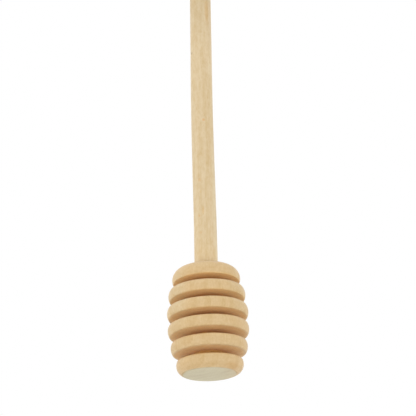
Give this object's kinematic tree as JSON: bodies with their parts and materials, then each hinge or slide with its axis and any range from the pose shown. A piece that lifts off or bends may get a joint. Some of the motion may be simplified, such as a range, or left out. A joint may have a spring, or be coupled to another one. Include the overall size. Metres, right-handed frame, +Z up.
{
  "type": "honey dipper",
  "caption": "Turned wooden honey dipper with a grooved barrel-shaped head, a flat end and a straight round handle.",
  "frame": {"origin": "centre of the flat end of the head, the face that the dipper stands on", "axes": "+Z up along the common axis of head and handle, from the head's flat end towards the handle's free end; X and Y are alike, because both pieces are round about Z"},
  "size_m": [0.0242, 0.0242, 0.16],
  "materials": {
    "head_wood": "bare pale hardwood, turned and finely sanded, unvarnished",
    "handle_wood": "bare pale hardwood dowel, finely sanded, unvarnished"
  },
  "bodies": {
    "root": {"dipper_head": "head_wood", "handle": "handle_wood"}
  },
  "joints": []
}
